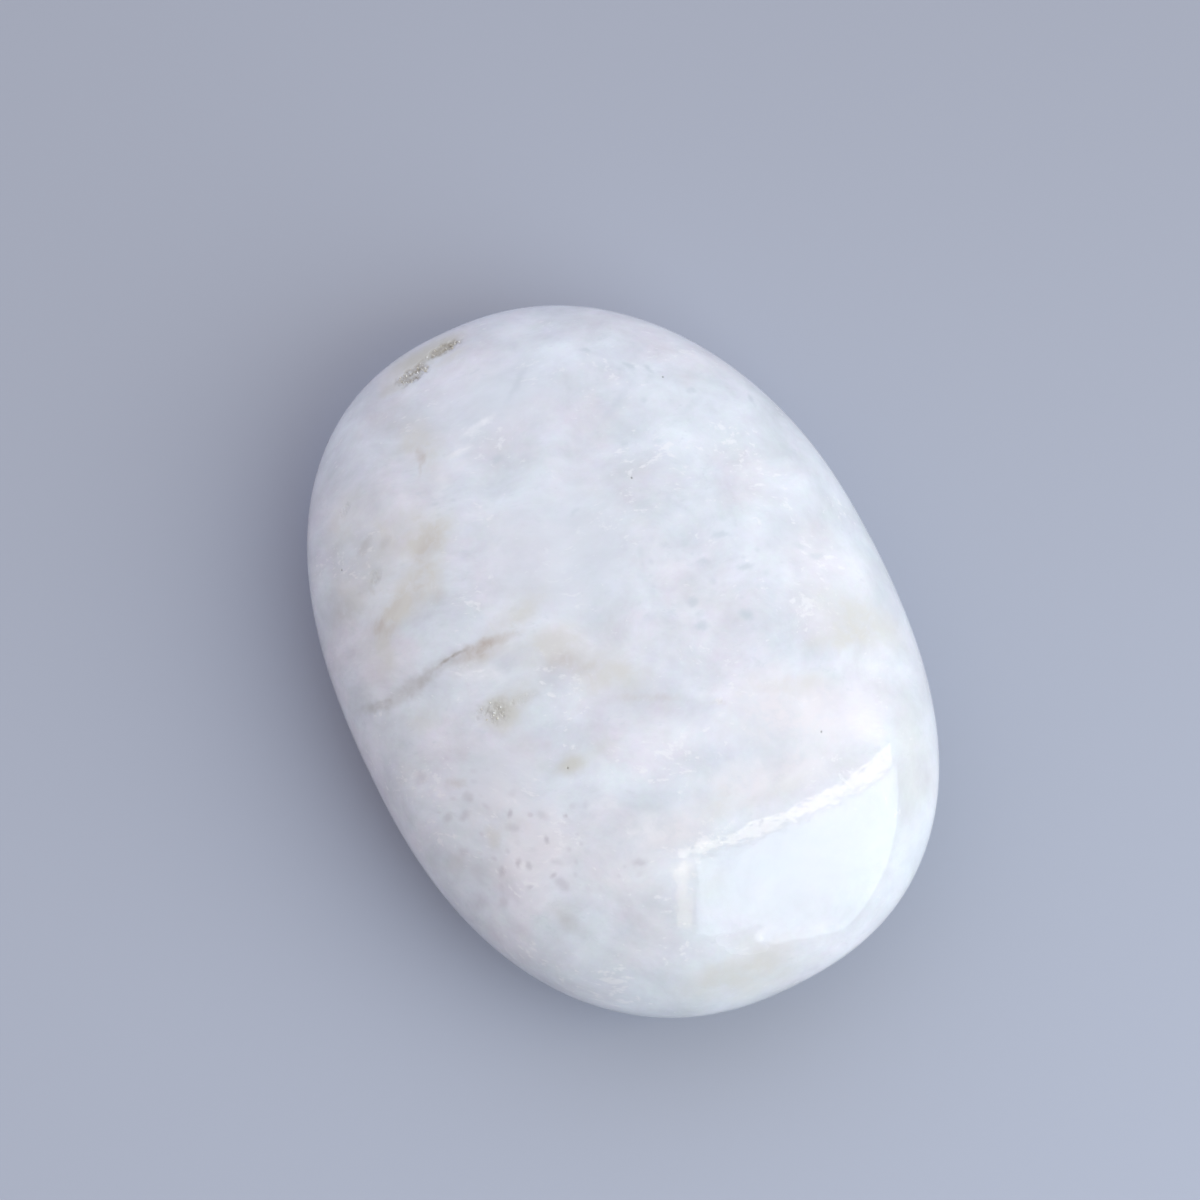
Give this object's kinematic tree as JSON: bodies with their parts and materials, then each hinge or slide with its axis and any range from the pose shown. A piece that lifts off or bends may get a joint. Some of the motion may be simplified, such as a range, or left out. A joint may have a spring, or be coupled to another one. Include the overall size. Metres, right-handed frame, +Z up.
{
  "type": "polished palm stone",
  "caption": "Smooth oval palm stone of white scolecite, with a domed polished top and a flat underside to rest on.",
  "frame": {"origin": "centre of the stone's outline on its flat underside, which is the surface it rests on", "axes": "+Z up from the underside through the crown, +Y along the stone's length, +X across its width"},
  "size_m": [0.0516, 0.07, 0.0204],
  "materials": {
    "polished_scolecite": "polished, with small unpolished crystal pockets"
  },
  "bodies": {
    "root": {"polished_stone": "polished_scolecite"}
  },
  "joints": []
}
